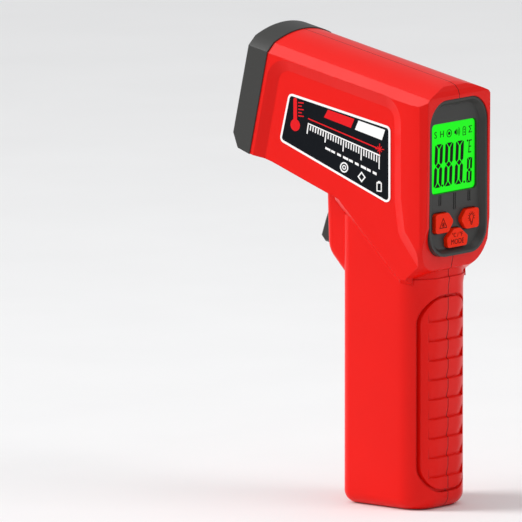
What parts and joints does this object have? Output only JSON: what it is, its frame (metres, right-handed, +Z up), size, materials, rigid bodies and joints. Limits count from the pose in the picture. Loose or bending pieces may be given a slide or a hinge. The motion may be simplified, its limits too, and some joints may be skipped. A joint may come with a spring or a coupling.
{
  "type": "infrared thermometer",
  "caption": "Pistol-grip infrared thermometer with a nose lens, trigger, rear display with keys, and a hinged battery door in the grip.",
  "frame": {"origin": "centre of the grip's flat base", "axes": "+Z up along the grip, +Y the way the sensor looks, +X to the user's right"},
  "size_m": [0.0358, 0.0814, 0.1553],
  "materials": {
    "red_abs": "satin gloss moulded ABS",
    "grey_abs": "fine matt moulded ABS",
    "key_red": "soft satin",
    "lcd": "lit green display",
    "light_guide": "clear acrylic",
    "rubber": "silicone",
    "circuit_board": "solder mask",
    "black_plastic": "moulded",
    "steel": "nickel plated",
    "brass": "turned",
    "lens": "milky polyethylene",
    "ribbon": "polyester film",
    "cell_jacket": "printed film sleeve",
    "lead_insulation": "PVC",
    "label_film": "printed polyester"
  },
  "bodies": {
    "housing": {"left_shell": "red_abs", "right_shell": "red_abs", "nose_cap": "grey_abs", "display_bezel": "grey_abs", "lcd_glass": "lcd", "backlight": "light_guide", "contact_strips": "rubber", "main_board": "circuit_board", "board_chips": "black_plastic", "board_screws": "steel", "key_domes": "steel", "buzzer": "black_plastic", "trigger_pin": "steel", "trigger_spring": "steel", "trigger_switch": "black_plastic", "switch_board": "circuit_board", "lens_holder": "black_plastic", "ir_lens": "lens", "sensor_can": "steel", "sensor_board": "circuit_board", "sensor_ribbon": "ribbon", "laser_module": "brass", "battery_tray": "black_plastic", "door_pin": "steel", "cell_left": "cell_jacket", "cell_right": "cell_jacket", "cell_springs": "steel", "cell_contacts": "steel", "battery_leads": "lead_insulation", "left_label": "label_film", "right_label": "label_film", "housing_screws": "steel"},
    "trigger": {"trigger": "grey_abs"},
    "laser_key": {"laser_key": "key_red"},
    "light_key": {"light_key": "key_red"},
    "mode_key": {"mode_key": "key_red"},
    "battery_door": {"battery_door": "red_abs"}
  },
  "joints": [
    {"name": "trigger_pull", "type": "hinge", "parent": "housing", "child": "trigger", "pos_m": [0, 0.021, 0.0992], "axis": [-1, 0, 0], "range_deg": [0, 11], "stiffness_Nm_per_rad": 0.05, "springref_deg": -20.05, "deforming": ["trigger_spring"]},
    {"name": "laser_key_press", "type": "slide", "parent": "housing", "child": "laser_key", "axis": [0, 1, 0], "range_m": [0, 0.0008], "stiffness_N_per_m": 400, "springref_m": -0.0005},
    {"name": "light_key_press", "type": "slide", "parent": "housing", "child": "light_key", "axis": [0, 1, 0], "range_m": [0, 0.0008], "stiffness_N_per_m": 400, "springref_m": -0.0005},
    {"name": "mode_key_press", "type": "slide", "parent": "housing", "child": "mode_key", "axis": [0, 1, 0], "range_m": [0, 0.0008], "stiffness_N_per_m": 400, "springref_m": -0.0005},
    {"name": "battery_door_hinge", "type": "hinge", "parent": "housing", "child": "battery_door", "pos_m": [0, 0.0153, 0.0083], "axis": [-1, 0, 0], "range_deg": [0, 88]}
  ]
}
